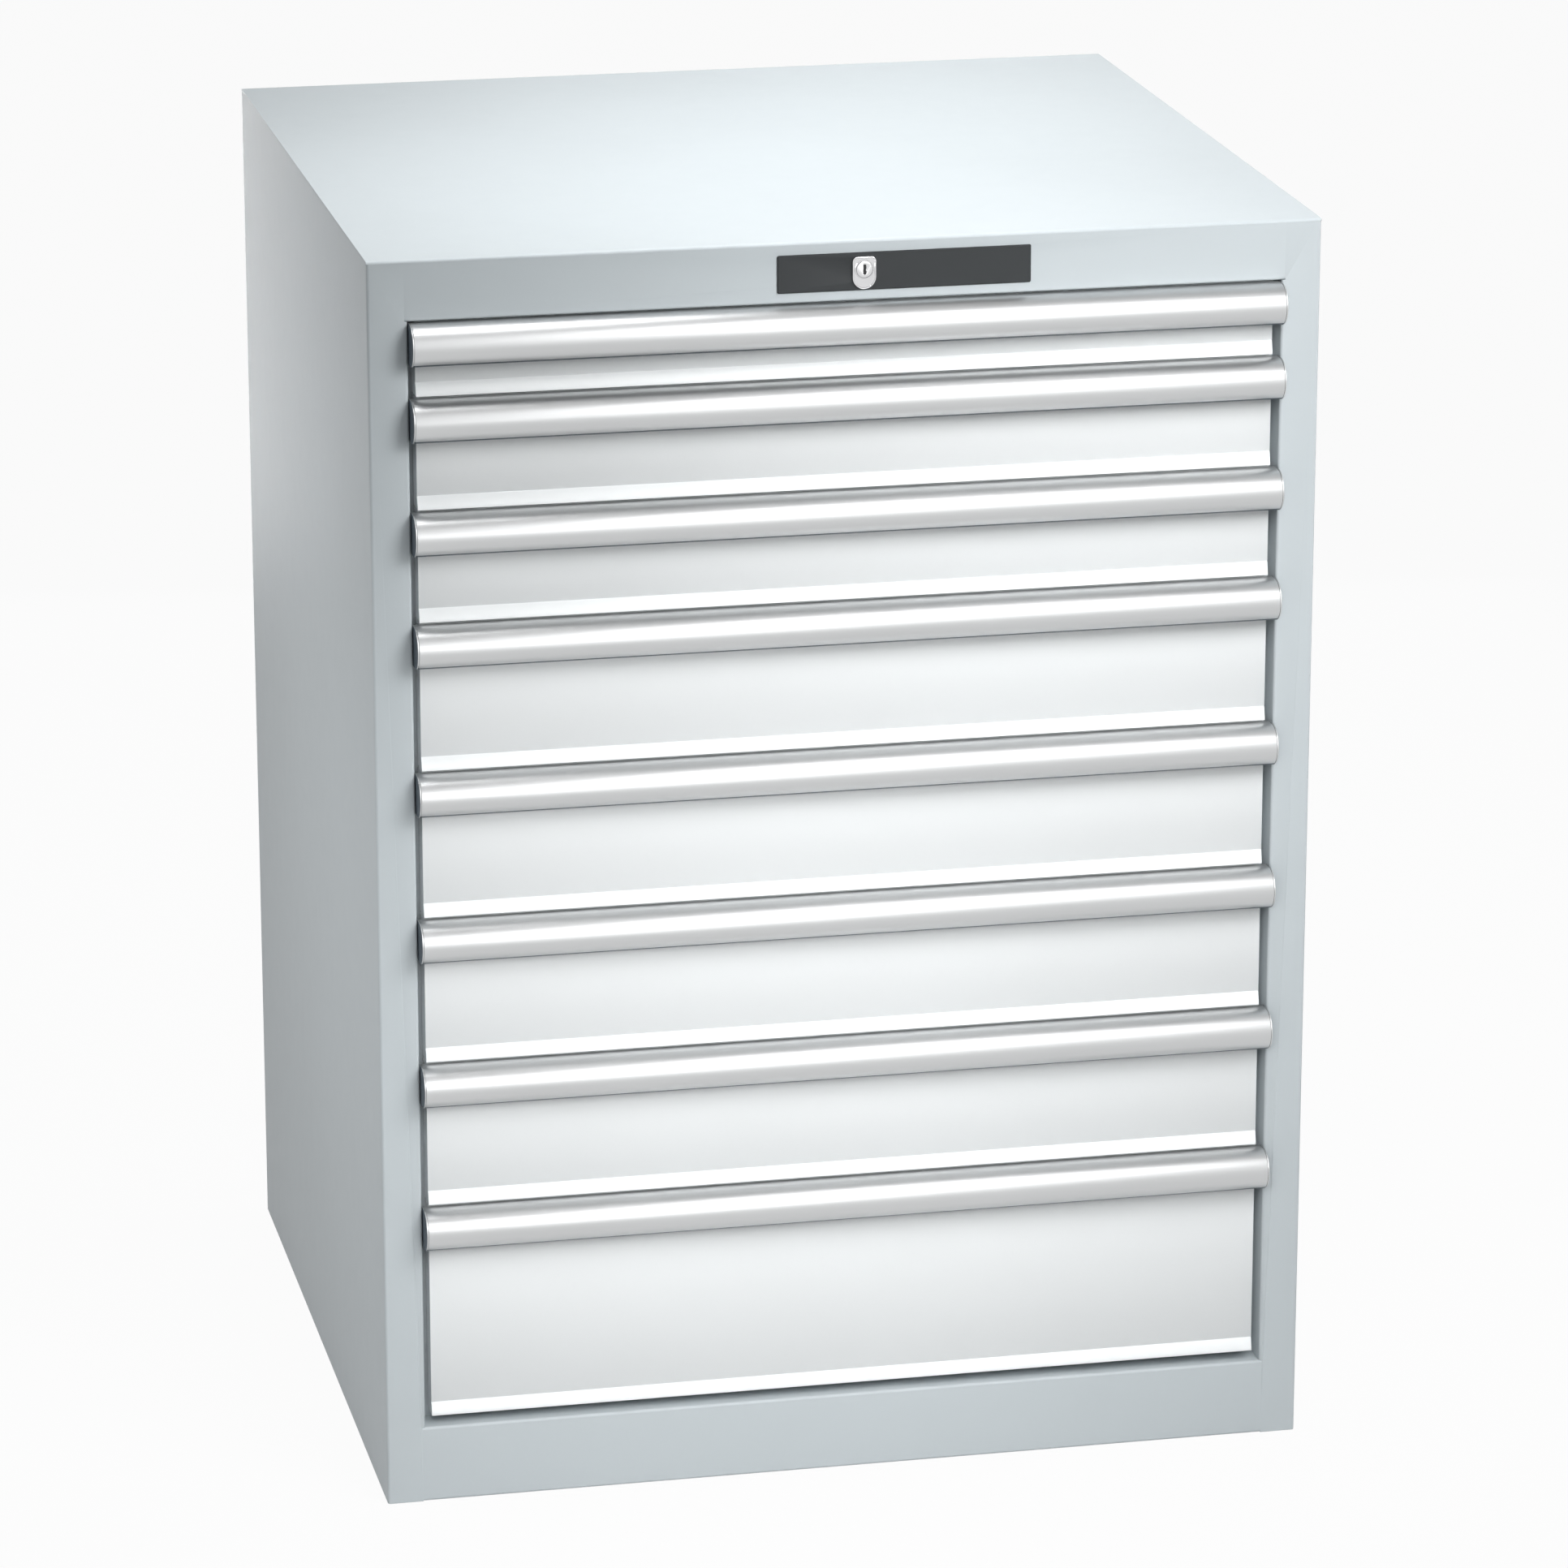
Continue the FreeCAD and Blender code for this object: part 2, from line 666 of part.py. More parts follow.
def glide(body, name, near, far, middle):
    """A sliding pad that fills a channel's height, on one side of the bar."""
    half_length = "Sizes.glide_length / 2"
    return block(
        body,
        name,
        (near, f"{middle} - {half_length}", f"{CHANNEL_AXIS} - Sizes.roller_radius"),
        (far, f"{middle} + {half_length}", f"{CHANNEL_AXIS} + Sizes.roller_radius"),
    )


def drawer_rails(number):
    """The drawer's own two channels, along the outside of its tray."""
    name = f"drawer_{number}_rails"
    body = new_body(name, cell_bottom(number))
    path = channel(TRAY_HALF, MOVING_TIP)
    section = outline(
        body,
        f"{name}_section",
        "XZ_Plane",
        folded(path, size("runner_sheet"), -1),
        offset=f"-{BAR_REAR}",
    )
    pad(body, section, f"{BAR_REAR} - {BAR_FRONT}")
    mirrored(body, f"{name}_both")
    return body


# Drawers


def tray(number):
    """Folded tray with slotted walls for dividers, and the catch behind it for the lock bar."""
    name = f"drawer_{number}_tray"
    body = new_body(name, cell_bottom(number))
    thickness = size("tray_sheet")
    floor = size("tray_floor_gap")
    top = paren(f"{cell_height(number)} - Sizes.tray_top_gap")
    lip = paren(f"{top} - {thickness}")
    flange = paren(f"{TRAY_HALF} + Sizes.tray_top_flange")
    path = [
        (f"-{flange}", lip),
        (f"-{TRAY_HALF}", lip),
        (f"-{TRAY_HALF}", floor),
        (TRAY_HALF, floor),
        (TRAY_HALF, lip),
        (flange, lip),
    ]
    section = outline(
        body, f"{name}_section", "XZ_Plane", folded(path, thickness, 1), offset=f"-{TRAY_REAR}"
    )
    pad(body, section, TRAY_DEPTH)
    inside = paren(f"{TRAY_HALF} - {thickness}")
    rear_top = paren(f"{top} - Sizes.tray_rear_drop")
    block(
        body,
        f"{name}_front_wall",
        (f"-{inside}", PANEL_REAR, f"{floor} + {thickness}"),
        (inside, f"{PANEL_REAR} + {thickness}", top),
    )
    block(
        body,
        f"{name}_rear_wall",
        (f"-{inside}", f"{TRAY_REAR} - {thickness}", f"{floor} + {thickness}"),
        (inside, TRAY_REAR, rear_top),
    )
    catch(body, name)
    wall_slots(body, name, rear_top)
    return body


def wall_slots(body, name, rear_top):
    """A row of upright slots for dividers through both side walls."""
    margin = size("wall_slot_margin")
    half = "Sizes.wall_slot_width / 2"
    pitch = size("wall_slot_pitch")
    low = f"Sizes.tray_floor_gap + {margin}"
    high = f"{rear_top} - {margin}"
    count = paren(f"floor({TRAY_DEPTH} / {pitch} - 0.5)")
    first = paren(f"{TRAY_REAR} - {TRAY_DEPTH} / 2 - ({count} - 1) * {pitch} / 2")
    slot = block(
        body,
        f"{name}_slot",
        (f"-2 * {TRAY_HALF}", f"{first} - {half}", low),
        (f"2 * {TRAY_HALF}", f"{first} + {half}", high),
        cut=True,
    )
    row_of(body, f"{name}_slots", slot, "Y_Axis", pitch, count)


def catch(body, name):
    """A hook behind the tray, which passes through a window of the lock bar."""
    reach = f"{TRAY_REAR} + Sizes.catch_reach"
    path = [
        (TRAY_REAR, size("catch_rise")),
        (reach, size("catch_rise")),
        (reach, "Sizes.catch_rise + Sizes.catch_height"),
    ]
    section = outline(
        body,
        f"{name}_catch",
        "YZ_Plane",
        folded(path, size("runner_sheet"), 1),
        offset=f"{LOCK_X} - Sizes.catch_width / 2",
    )
    pad(body, section, size("catch_width"))


def front_panel(number):
    """Folded front: a shallow pan, open behind, with a bead along its lower edge."""
    name = f"drawer_{number}_front"
    body = new_body(name, cell_bottom(number))
    bottom = size("front_gap")
    top = cell_height(number)
    proud = f"{PANEL_FACE} - Sizes.bead_proud"
    corners = [
        (PANEL_REAR, bottom),
        (proud, bottom),
        (proud, f"{bottom} + Sizes.bead_edge"),
        (PANEL_FACE, f"{bottom} + Sizes.bead_height"),
        (PANEL_FACE, top),
        (PANEL_REAR, top),
    ]
    section = outline(body, f"{name}_section", "YZ_Plane", corners)
    solid = pad(body, section, f"2 * {PANEL_HALF}", midplane=True)
    rear_face = next(
        f"Face{index}"
        for index, face in enumerate(solid.Shape.Faces, start=1)
        if abs(face.CenterOfMass.y - value(PANEL_REAR)) < 1e-6
    )
    shell = body.newObject("PartDesign::Thickness", f"{name}_shell")
    shell.Base = (solid, [rear_face])
    shell.Reversed = True
    shell.setExpression("Value", size("front_sheet"))
    document.recompute()
    return body


def handle_points(number):
    """Shared places of the handle's section: centre of its nose, and its upper edge."""
    top = cell_height(number)
    radius = paren("Sizes.handle_height / 2")
    centre_y = paren(f"{PANEL_FACE} - Sizes.handle_reach + {radius}")
    centre_z = paren(f"{top} - {radius}")
    return top, radius, centre_y, centre_z


def handle(number):
    """Extruded grip: a flange on the panel, a top web and a rounded nose, open below for fingers."""
    name = f"drawer_{number}_handle"
    body = new_body(name, cell_bottom(number))
    top, radius, centre_y, centre_z = handle_points(number)
    wall = size("handle_wall")
    inner = paren(f"{radius} - {wall}")
    angle = "Sizes.handle_grip_angle * 1 deg"
    down = paren(f"sin({angle})")
    back = paren(f"cos({angle})")
    corners = [
        (PANEL_FACE, f"{top} - Sizes.handle_back_flange"),
        (PANEL_FACE, top),
        (centre_y, top),
        (f"{centre_y} - {radius} * {back}", f"{centre_z} - {radius} * {down}"),
        (f"{centre_y} - {inner} * {back}", f"{centre_z} - {inner} * {down}"),
        (centre_y, f"{top} - {wall}"),
        (f"{PANEL_FACE} - {wall}", f"{top} - {wall}"),
        (f"{PANEL_FACE} - {wall}", f"{top} - Sizes.handle_back_flange"),
    ]
    arcs = {2: (centre_y, centre_z, 1), 4: (centre_y, centre_z, -1)}
    section = outline(body, f"{name}_section", "YZ_Plane", corners, arcs)
    pad(body, section, f"2 * {HANDLE_HALF}", midplane=True)
    return body


def end_caps(number):
    """The two caps that close the ends of the handle."""
    name = f"drawer_{number}_end_caps"
    body = new_body(name, cell_bottom(number))
    top, radius, centre_y, centre_z = handle_points(number)
    bottom = paren(f"{top} - Sizes.handle_height")
    corners = [(PANEL_FACE, bottom), (PANEL_FACE, top), (centre_y, top), (centre_y, bottom)]
    arcs = {2: (centre_y, centre_z, 1)}
    section = outline(body, f"{name}_section", "YZ_Plane", corners, arcs, offset=HANDLE_HALF)
    pad(body, section, size("end_cap_thickness"))
    mirrored(body, f"{name}_both")
    return body


# Lock


def lock_plate():
    """Dark strip on the top rail that carries the lock."""
    body = new_body("lock_plate")
    left = paren(f"{LOCK_X} - Sizes.lock_plate_left")
    right = paren(f"{left} + Sizes.lock_plate_width")
    top = paren(f"{HEIGHT} - Sizes.lock_plate_drop")
    bottom = paren(f"{top} - Sizes.lock_plate_height")
    corners = [(left, bottom), (right, bottom), (right, top), (left, top)]
    section = outline(body, "lock_plate_outline", "XZ_Plane", corners, offset=f"-{FRONT_FACE}")
    pad(body, section, size("lock_plate_thickness"))
    lock_box(body, "lock_plate_hole", f"{PLATE_FACE} - {SKIN}", f"{FRONT_FACE} + {SKIN}", cut=True)
    return body


def lock_escutcheon():
    """Shield in front of the plate, with the fixed case of the lock behind it."""
    body = new_body("lock_escutcheon")
    half = paren("Sizes.shield_width / 2")
    low = paren(f"{LOCK_Z} - Sizes.shield_fall + {half}")
    high = paren(f"{LOCK_Z} + Sizes.shield_rise")
    left = paren(f"{LOCK_X} - {half}")
    right = paren(f"{LOCK_X} + {half}")
    corners = [(right, low), (right, high), (left, high), (left, low)]
    arcs = {3: (LOCK_X, low, 1)}
    section = outline(body, "shield_outline", "XZ_Plane", corners, arcs, offset=f"-{PLATE_FACE}")
    pad(body, section, size("shield_thickness"))
    lock_box(body, "lock_case", PLATE_FACE, f"{PLATE_FACE} + Sizes.lock_case_depth")
    cylinder(
        body,
        "plug_bore",
        (0, 1, 0),
        (LOCK_X, f"{SHIELD_FACE} - {SKIN}", LOCK_Z),
        "Sizes.plug_radius + Sizes.plug_play",
        "Sizes.lock_case_depth + 4 * Sizes.skin",
        cut=True,
    )
    return body


def lock_plug():
    """Key plug with the rod that runs to the rear and the crank that drives the lock bar."""
    body = new_body("lock_plug")
    face = paren(f"{SHIELD_FACE} - Sizes.plug_proud")
    plug_end = paren(f"{PLATE_FACE} + Sizes.lock_case_depth")
    crank_front = paren(f"{LOCK_BAR_FRONT} - Sizes.lock_bar_play - Sizes.crank_thickness")
    crank_rear = paren(f"{crank_front} + Sizes.crank_thickness")
    cylinder(body, "plug", (0, 1, 0), (LOCK_X, face, LOCK_Z), size("plug_radius"), f"{plug_end} - {face}")
    cylinder(
        body,
        "rod",
        (0, 1, 0),
        (LOCK_X, f"{plug_end} - {SKIN}", LOCK_Z),
        size("rod_radius"),
        f"{crank_front} - {plug_end} + 2 * {SKIN}",
    )
    low = "(Sizes.rod_radius + Sizes.crank_margin)"
    high = f"({PIN_RISE} + Sizes.pin_radius + Sizes.crank_margin)"
    block(
        body,
        "crank",
        (f"{LOCK_X} - {low}", crank_front, f"{LOCK_Z} - {low}"),
        (f"{LOCK_X} + {high}", crank_rear, f"{LOCK_Z} + {high}"),
    )
    cylinder(
        body,
        "crank_pin",
        (0, 1, 0),
        (f"{LOCK_X} + {PIN_RISE}", f"{crank_rear} - {SKIN}", f"{LOCK_Z} + {PIN_RISE}"),
        size("pin_radius"),
        f"{LOCK_BAR_REAR} - {crank_rear} + 2 * {SKIN}",
    )
    half_width = "Sizes.key_slot_width / 2"
    half_height = "Sizes.key_slot_height / 2"
    block(
        body,
        "key_slot",
        (f"{LOCK_X} - {half_width}", f"{face} - {SKIN}", f"{LOCK_Z} - {half_height}"),
        (f"{LOCK_X} + {half_width}", f"{face} + Sizes.key_slot_depth", f"{LOCK_Z} + {half_height}"),
        cut=True,
    )
    return body


def lock_bar():
    """Upright bar behind the drawers, with a window for each catch and a slot for the crank pin."""
    body = new_body("lock_bar")
    half = paren("Sizes.lock_bar_width / 2")
    bottom = paren("Sizes.bottom_rail_height - Sizes.lock_bar_tail")
    top = paren(f"{LOCK_Z} + {PIN_RISE} + 2 * Sizes.pin_radius")
    corners = [
        (f"{LOCK_X} - {half}", bottom),
        (f"{LOCK_X} + {half}", bottom),
        (f"{LOCK_X} + {half}", top),
        (f"{LOCK_X} - {half}", top),
    ]
    section = outline(body, "lock_bar_outline", "XZ_Plane", corners, offset=f"-{LOCK_BAR_REAR}")
    pad(body, section, size("lock_bar_thickness"))
    through = (f"{LOCK_BAR_FRONT} - {SKIN}", f"{LOCK_BAR_REAR} + {SKIN}")
    window_half = paren("Sizes.catch_width / 2 + Sizes.catch_play")
    for number in range(1, DRAWER_COUNT + 1):
        low = paren(f"{cell_bottom(number)} + Sizes.catch_rise - Sizes.catch_play")
        high = paren(f"{cell_bottom(number)} + Sizes.catch_rise + Sizes.catch_height + Sizes.catch_play")
        block(
            body,
            f"window_{number}",
            (f"{LOCK_X} - {window_half}", through[0], low),
            (f"{LOCK_X} + {window_half}", through[1], high),
            cut=True,
        )
    clear = paren("Sizes.pin_radius + Sizes.pin_play")
    block(
        body,
        "pin_slot",
        (f"{LOCK_X} + {PIN_RISE} - {clear}", through[0], f"{LOCK_Z} + {PIN_RISE} - {clear}"),
        (f"{LOCK_X} + {PIN_RADIUS_OF_TURN} + {clear}", through[1], f"{LOCK_Z} + {PIN_RISE} + {clear}"),
        cut=True,
    )
    return body


def joined(label, pieces):
    """Identical separate pieces of the housing, kept as one named part."""
    group = document.addObject("Part::Compound", label)
    group.Label = label
    group.Links = pieces
    document.recompute()
    return group


def build():
    """Every named piece of the cabinet."""
    uprights = [
        upright_pair("front_uprights", UPRIGHT_FRONT),
        upright_pair("rear_uprights", REAR_UPRIGHT),
    ]
    numbers = range(1, DRAWER_COUNT + 1)
    pieces = [
        side_panel("side_panel_left", -1),
        side_panel("side_panel_right", 1),
        top_panel(),
        back_panel(),
        base_panel(),
        joined("slotted_uprights", uprights),
        joined("fixed_rails", [fixed_rail_pair(number) for number in numbers]),
        lock_plate(),
        lock_escutcheon(),
        lock_plug(),
        lock_bar(),
    ]
    for number in numbers:
        pieces.append(tray(number))
        pieces.append(front_panel(number))
        pieces.append(handle(number))
        pieces.append(end_caps(number))
        pieces.append(drawer_rails(number))
        pieces.append(carriage(number))
    return pieces


def write(pieces):
    """Stops on any failed object or bad shape, then writes one file for each piece."""
    document.recompute()
    for item in document.Objects:
        if "Invalid" in item.State or "Error" in item.State:
            raise RuntimeError(f"{item.Label} failed: {item.State}")
    for piece in pieces:
        if piece.Shape.isNull() or not piece.Shape.isValid() or not piece.Shape.Solids:
            raise RuntimeError(f"{piece.Label} has no valid solid")
    os.makedirs("parts", exist_ok=True)
    for piece in pieces:
        piece.Shape.exportStep(f"parts/{piece.Label}.step")
        print(piece.Label, len(piece.Shape.Solids), "solids", round(piece.Shape.Volume), "mm3")
    print(len(pieces), "pieces, height", round(value(HEIGHT), 2), "mm")


write(build())
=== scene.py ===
import math

import bmesh
import bpy
from mathutils import Matrix, Vector


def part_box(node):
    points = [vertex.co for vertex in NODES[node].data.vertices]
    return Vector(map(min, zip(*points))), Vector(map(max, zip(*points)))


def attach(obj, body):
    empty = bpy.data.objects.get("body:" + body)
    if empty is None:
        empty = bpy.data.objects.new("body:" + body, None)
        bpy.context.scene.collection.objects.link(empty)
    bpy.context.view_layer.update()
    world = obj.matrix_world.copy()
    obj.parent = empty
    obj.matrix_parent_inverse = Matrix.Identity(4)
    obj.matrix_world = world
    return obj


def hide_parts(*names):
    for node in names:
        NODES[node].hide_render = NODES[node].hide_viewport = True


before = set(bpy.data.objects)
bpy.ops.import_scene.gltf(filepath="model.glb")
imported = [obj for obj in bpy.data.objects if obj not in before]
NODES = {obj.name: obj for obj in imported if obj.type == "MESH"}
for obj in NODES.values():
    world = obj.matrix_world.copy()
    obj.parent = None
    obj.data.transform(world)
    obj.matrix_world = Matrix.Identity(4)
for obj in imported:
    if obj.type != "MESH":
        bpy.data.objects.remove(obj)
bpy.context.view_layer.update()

# All lengths are in metres and all angles in degrees.

# The cabinet
DRAWERS = range(1, 9)
HOUSING_NODES = ("side_panel_left", "side_panel_right", "top_panel", "base_panel", "back_panel")

# Seams that are welded and ground flush, so their edges stay unrounded
SEAM_X = 0.291
SEAM_Z = 0.8485
FRONT_SHEET_REAR = -0.2884
ON_PLANE = 1e-5

# Meshes
MERGE_DISTANCE = 1e-6
FLAT_ANGLE = 0.5
SHARP_ANGLE = 40
SMOOTH_ANGLE = 32.0
BEVEL_PROFILE = 0.5
END_FACE_TURN = 0.7

# Rounded edges
PANEL_EDGE = 0.0003
PLATE_EDGE = 0.0007
PLUG_EDGE = 0.00025
FRONT_EDGE = 0.0005
GRIP_EDGE = 0.00045
CAP_EDGE = 0.0004

# Drawer front: the bead along its lower edge, and the line pressed above it
FRONT_CREASE = 12.0
BEAD_HEIGHT = 0.009
BEAD_PROUD = 0.002
GROOVE_HALF = 0.0008
GROOVE_DEPTH = 0.0007
GROOVE_MARGIN = 0.0006

# Handle: an arc from its top forwards and down; its lip is painted dark as shade
HANDLE_WALL = 0.002
HANDLE_FLANGE = 0.020
ARC_TOP = 90
HANDLE_ARC_END = 250
CAP_ARC_END = 270
HANDLE_STEPS = 40
LIP_SHADE_TURN = 52

# Lock: the plug's axis is SHIELD_RISE below the shield's top edge
SHIELD_RISE = 0.0083
PLUG_BORE = 0.00533
SHOULDER = 0.003
NOSE_STEPS = 28
SHOULDER_STEPS = 8
SIDE_STEPS = 6
COLLAR_CREASE = 25.0
# Section from the outer edge to the bore: side, distance from it, depth behind the face
SHIELD_SECTION = [
    ("outline", 0.0, 0.0005),
    ("outline", 0.00012, 0.00015),
    ("outline", 0.0004, 0.0),
    ("outline", 0.0008, 0.0),
    ("outline", 0.0011, 0.0004),
    ("bore", 0.0010, 0.0004),
    ("bore", 0.0008, 0.0001),
    ("bore", 0.0004, 0.0001),
    ("bore", 0.0002, 0.0006),
    ("bore", 0.0, 0.0006),
]
CASE_HALF = 0.007
CASE_STEPS = 12
# The keyway is a dark prism just proud of the plug's face: painted shade for the slot's hollow.
KEYWAY_PROUD = 0.00003
KEYWAY_DEPTH = 0.001
# The keyway's outline, (x, z) from the plug's axis
KEYWAY_POINTS = [
    (-0.0005, -0.0035),
    (0.0009, -0.0032),
    (0.0014, -0.0014),
    (0.0003, -0.0003),
    (0.0012, 0.0008),
    (0.0010, 0.0030),
    (-0.0002, 0.0035),
    (-0.0010, 0.0030),
    (-0.0008, 0.0014),
    (0.0001, 0.0004),
    (-0.0011, -0.0007),
    (-0.0008, -0.0024),
]

# Colours, linear
# The housing and the drawer fronts have one grey paint: the housing's colour is painted darker as
# painted shade, and the fronts' lighter as painted light.
HOUSING_SHADED_COLOUR = (0.53, 0.575, 0.597)
FRONT_LIT_COLOUR = (0.89, 0.91, 0.916)
ALUMINIUM_COLOUR = (0.58, 0.588, 0.592)
# Dark plastic of the end caps; on the handle's lip the same dark colour is painted shade.
CAP_AND_LIP_SHADE_COLOUR = (0.045, 0.062, 0.08)
PLATE_COLOUR = (0.026, 0.029, 0.031)
CHROME_COLOUR = (0.70, 0.70, 0.71)
ZINC_COLOUR = (0.60, 0.62, 0.64)
RUNNER_COLOUR = (0.54, 0.56, 0.58)
# Near-black of the keyway: painted shade for the slot's hollow.
KEYWAY_SHADE_COLOUR = (0.012, 0.012, 0.013)

# Studio
FLOOR_SIZE = 60
FLOOR_SHADE = 0.62
FLOOR_GLOW = 0.95
AMBIENT = 0.135
AMBIENT_COLOUR = (0.92, 0.98, 1.0)
HORIZON = 0.965
HORIZON_RISE = 0.3
CEILING = 0.5
CEILING_RISE = 0.8

# Camera: the photograph's, as fitted to the cabinet's corners
YAW = 12.09
PITCH = 16.92
CAMERA_PLACE = (-0.954, -4.539, 1.809)
SENSOR_WIDTH = 36.0
LENS_PIXELS = 8515.0
FRAME_PIXELS = 1932.0


# Materials


def new_material(name):
    mat = bpy.data.materials.new(name)
    mat.use_nodes = True
    shader = mat.node_tree.nodes["Principled BSDF"]
    return mat, mat.node_tree, shader


def link(tree, source, output, target, socket):
    tree.links.new(source.outputs[output], target.inputs[socket])


def noise(tree, scale, detail=2.0, stretch=(1, 1, 1), kind="ShaderNodeTexNoise"):
    """A 3-D texture in the piece's own coordinates; stretch scales these first."""
    place = tree.nodes.new("ShaderNodeTexCoord")
    mapping = tree.nodes.new("ShaderNodeMapping")
    mapping.inputs["Scale"].default_value = stretch
    texture = tree.nodes.new(kind)
    texture.inputs["Scale"].default_value = scale
    if "Detail" in texture.inputs:
        texture.inputs["Detail"].default_value = detail
    link(tree, place, "Object", mapping, "Vector")
    link(tree, mapping, "Vector", texture, "Vector")
    return texture


def factor_of(texture):
    return "Fac" if "Fac" in texture.outputs else "Distance"


def vary_colour(tree, shader, texture, colour, darkest, lightest, spread=(0.3, 0.7)):
    """Colour that goes from darkest to lightest times its value as the texture rises."""
    ramp = tree.nodes.new("ShaderNodeValToRGB")
    for element, position, factor in zip(ramp.color_ramp.elements, spread, (darkest, lightest)):
        element.position = position
        element.color = (*scaled(colour, factor), 1)
    link(tree, texture, factor_of(texture), ramp, "Fac")
    link(tree, ramp, "Color", shader, "Base Color")


def scaled(colour, factor):
    return tuple(min(1.0, channel * factor) for channel in colour)


def vary_roughness(tree, shader, texture, lowest, highest):
    scale = tree.nodes.new("ShaderNodeMapRange")
    scale.inputs["To Min"].default_value = lowest
    scale.inputs["To Max"].default_value = highest
    link(tree, texture, factor_of(texture), scale, "Value")
    link(tree, scale, "Result", shader, "Roughness")


def add_bumps(tree, shader, layers):
    """Stacks bump layers, each (texture, strength, height)."""
    below = None
    for texture, strength, height in layers:
        bump = tree.nodes.new("ShaderNodeBump")
        bump.inputs["Strength"].default_value = strength
        bump.inputs["Distance"].default_value = height
        link(tree, texture, factor_of(texture), bump, "Height")
        if below:
            link(tree, below, "Normal", bump, "Normal")
        below = bump
    link(tree, below, "Normal", shader, "Normal")


def powder_paint(name, colour, rough):
    """Satin powder coat: faint cloudiness, orange peel and a little sheet waviness."""
    mat, tree, shader = new_material(name)
    cloud = noise(tree, scale=5.0, detail=3.0)
    vary_colour(tree, shader, cloud, colour, darkest=0.985, lightest=1.012)
    patches = noise(tree, scale=60.0, detail=3.0)
    vary_roughness(tree, shader, patches, lowest=rough - 0.05, highest=rough + 0.05)
    waviness = noise(tree, scale=2.2, detail=1.0)
    orange_peel = noise(tree, scale=1100.0, detail=2.0)
    add_bumps(tree, shader, [(waviness, 0.25, 0.0012), (orange_peel, 0.16, 0.00006)])
    shader.inputs["IOR"].default_value = 1.5
    shader.inputs["Specular IOR Level"].default_value = 0.35
    return mat


def extruded_aluminium(name, colour, rough, metallic):
    """Anodised extrusion: die lines along X and a soft sheen."""
    mat, tree, shader = new_material(name)
    die_lines = noise(tree, scale=900.0, detail=3.0, stretch=(0.004, 1, 1))
    tone = noise(tree, scale=9.0, detail=2.0)
    vary_colour(tree, shader, tone, colour, darkest=0.985, lightest=1.01)
    vary_roughness(tree, shader, die_lines, lowest=rough - 0.05, highest=rough + 0.06)
    add_bumps(tree, shader, [(die_lines, 0.12, 0.00003)])
    shader.inputs["Metallic"].default_value = metallic
    return mat


def zinc_sheet(name, colour, rough):
    """Zinc-coated steel: soft spangle and rolling lines."""
    mat, tree, shader = new_material(name)
    spangle = noise(tree, scale=140.0, kind="ShaderNodeTexVoronoi")
    vary_colour(tree, shader, spangle, colour, darkest=0.93, lightest=1.04, spread=(0.0, 0.7))
    stains = noise(tree, scale=40.0, detail=4.0)
    vary_roughness(tree, shader, stains, lowest=rough - 0.07, highest=rough + 0.08)
    rolling_lines = noise(tree, scale=500.0, detail=3.0, stretch=(1, 0.02, 1))
    add_bumps(tree, shader, [(rolling_lines, 0.15, 0.00005)])
    shader.inputs["Metallic"].default_value = 0.85
    return mat


def grained_plastic_and_shade(name, colour, rough):
    """Moulded plastic with a fine grain; the same material also serves as painted shade on the
    handle's lip and in the keyway.
    """
    mat, tree, shader = new_material(name)
    tone = noise(tree, scale=30.0, detail=2.0)
    vary_colour(tree, shader, tone, colour, darkest=0.94, lightest=1.06)
    patches = noise(tree, scale=300.0, detail=2.0)
    vary_roughness(tree, shader, patches, lowest=rough - 0.05, highest=rough + 0.05)
    grain = noise(tree, scale=2500.0, detail=2.0)
    add_bumps(tree, shader, [(grain, 0.3, 0.00004)])
    return mat


def polished_metal(name, colour, rough):
    """Plated metal with a few fine wiping scratches."""
    mat, tree, shader = new_material(name)
    scratches = noise(tree, scale=700.0, detail=4.0, stretch=(1, 1, 0.05))
    tone = noise(tree, scale=90.0, detail=2.0)
    vary_colour(tree, shader, tone, colour, darkest=0.97, lightest=1.02)
    vary_roughness(tree, shader, scratches, lowest=rough - 0.03, highest=rough + 0.06)
    add_bumps(tree, shader, [(scratches, 0.1, 0.00001)])
    shader.inputs["Metallic"].default_value = 1.0
    return mat


# The housing and front coats are a painted-shade copy and a painted-light copy of one paint.
PAINT = powder_paint("housing_powder_coat_painted_shade", HOUSING_SHADED_COLOUR, rough=0.48)
FRONT_PAINT = powder_paint("front_powder_coat_painted_light", FRONT_LIT_COLOUR, rough=0.38)
ALUMINIUM = extruded_aluminium("handle_anodised", ALUMINIUM_COLOUR, rough=0.4, metallic=0.96)
# Dark plastic for the caps' end faces, and painted shade on the handle's lip.
CAP_AND_LIP_SHADE = grained_plastic_and_shade("cap_plastic_and_lip_painted_shade", CAP_AND_LIP_SHADE_COLOUR, rough=0.5)
PLATE = powder_paint("plate_anthracite", PLATE_COLOUR, rough=0.55)
CHROME = polished_metal("lock_chrome_plate", CHROME_COLOUR, rough=0.2)
ZINC = zinc_sheet("zinc_coated_steel", ZINC_COLOUR, rough=0.38)
RUNNER = zinc_sheet("runner_steel", RUNNER_COLOUR, rough=0.30)
KEYWAY_SHADE = grained_plastic_and_shade("keyway_painted_shade", KEYWAY_SHADE_COLOUR, rough=0.6)


def dress(node, mat):
    """Gives a CAD node that stays visible its material."""
    for place in NODES[node].material_slots:
        place.material = mat


# Mesh helpers


